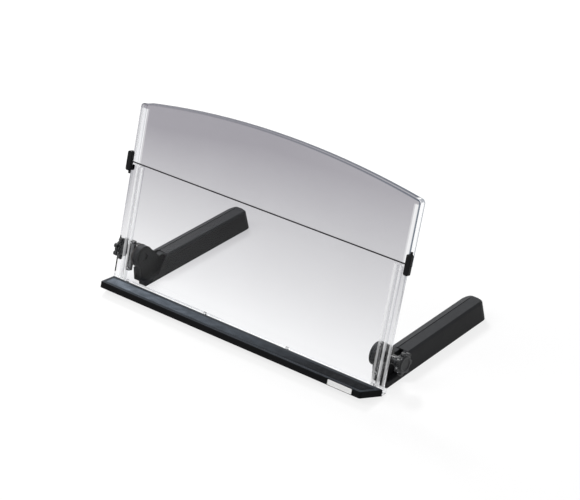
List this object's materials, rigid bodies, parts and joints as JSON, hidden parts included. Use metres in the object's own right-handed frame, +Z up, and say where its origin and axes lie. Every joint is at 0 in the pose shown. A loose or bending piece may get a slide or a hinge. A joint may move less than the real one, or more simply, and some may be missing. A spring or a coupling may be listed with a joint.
{
  "type": "copy holder",
  "caption": "Desktop copy holder: a clear leaning panel with a page shelf, hollow legs clamped by side knobs on a tilt axis, and an elastic line guide on sliding edge clips.",
  "frame": {"origin": "on the desk, at the middle of the footprint", "axes": "+X to the right as seen from the page side, +Y from the page side to the back, +Z up"},
  "size_m": [0.484, 0.2764, 0.262],
  "materials": {
    "clear_panel": "clear polished acrylic",
    "grey_shelf": "satin moulded",
    "mat": "fine grained grip mat",
    "black": "satin moulded",
    "knob_black": "satin moulded",
    "clip_black": "semi-gloss moulded",
    "rubber": "plain",
    "fibre": "fibre friction disc",
    "elastic": "braided elastic",
    "steel": "zinc plated",
    "black_steel": "black oxide"
  },
  "bodies": {
    "left_leg": {"left_leg": "black", "left_leg_cover": "black", "left_front_foot": "rubber", "left_rear_foot": "rubber", "left_tilt_bolt": "black_steel", "left_clutch_washer": "fibre", "left_sleeve": "black", "left_washer": "black_steel"},
    "panel": {"panel": "clear_panel", "shelf": "grey_shelf", "shelf_mat": "mat", "shelf_screws": "steel", "right_bracket": "black", "right_bracket_screws": "black_steel", "left_bracket": "black", "left_bracket_screws": "black_steel"},
    "right_leg": {"right_leg": "black", "right_leg_cover": "black", "right_front_foot": "rubber", "right_rear_foot": "rubber", "right_tilt_bolt": "black_steel", "right_clutch_washer": "fibre", "right_sleeve": "black", "right_washer": "black_steel"},
    "left_knob": {"left_knob": "knob_black"},
    "right_knob": {"right_knob": "knob_black"},
    "left_slider": {"left_clip": "clip_black", "left_ferrule": "steel", "line_guide_cord": "elastic"},
    "right_slider": {"right_clip": "clip_black", "right_ferrule": "steel"}
  },
  "joints": [
    {"name": "panel_tilt", "type": "hinge", "parent": "left_leg", "child": "panel", "pos_m": [0, -0.07389, 0.03659], "axis": [-1, 0, 0], "range_deg": [0, 73]},
    {"name": "right_leg_tilt", "type": "hinge", "parent": "panel", "child": "right_leg", "pos_m": [0, -0.07389, 0.03659], "axis": [-1, 0, 0], "range_deg": [-73, 0]},
    {"name": "left_knob_turn", "type": "hinge", "parent": "left_leg", "child": "left_knob", "pos_m": [0, -0.07389, 0.03659], "axis": [-1, 0, 0], "range_deg": [0, 180]},
    {"name": "right_knob_turn", "type": "hinge", "parent": "right_leg", "child": "right_knob", "pos_m": [0, -0.07389, 0.03659], "axis": [1, 0, 0], "range_deg": [0, 180]},
    {"name": "left_slide", "type": "slide", "parent": "panel", "child": "left_slider", "axis": [0, 0.2807, 0.9598], "range_m": [-0.098, 0]},
    {"name": "right_slide", "type": "slide", "parent": "panel", "child": "right_slider", "axis": [0, 0.2807, 0.9598], "range_m": [-0.098, 0]}
  ],
  "couplings": [
    {"joint": "right_leg_tilt", "follows": "panel_tilt", "ratio": -1},
    {"joint": "right_slide", "follows": "left_slide", "ratio": 1}
  ]
}
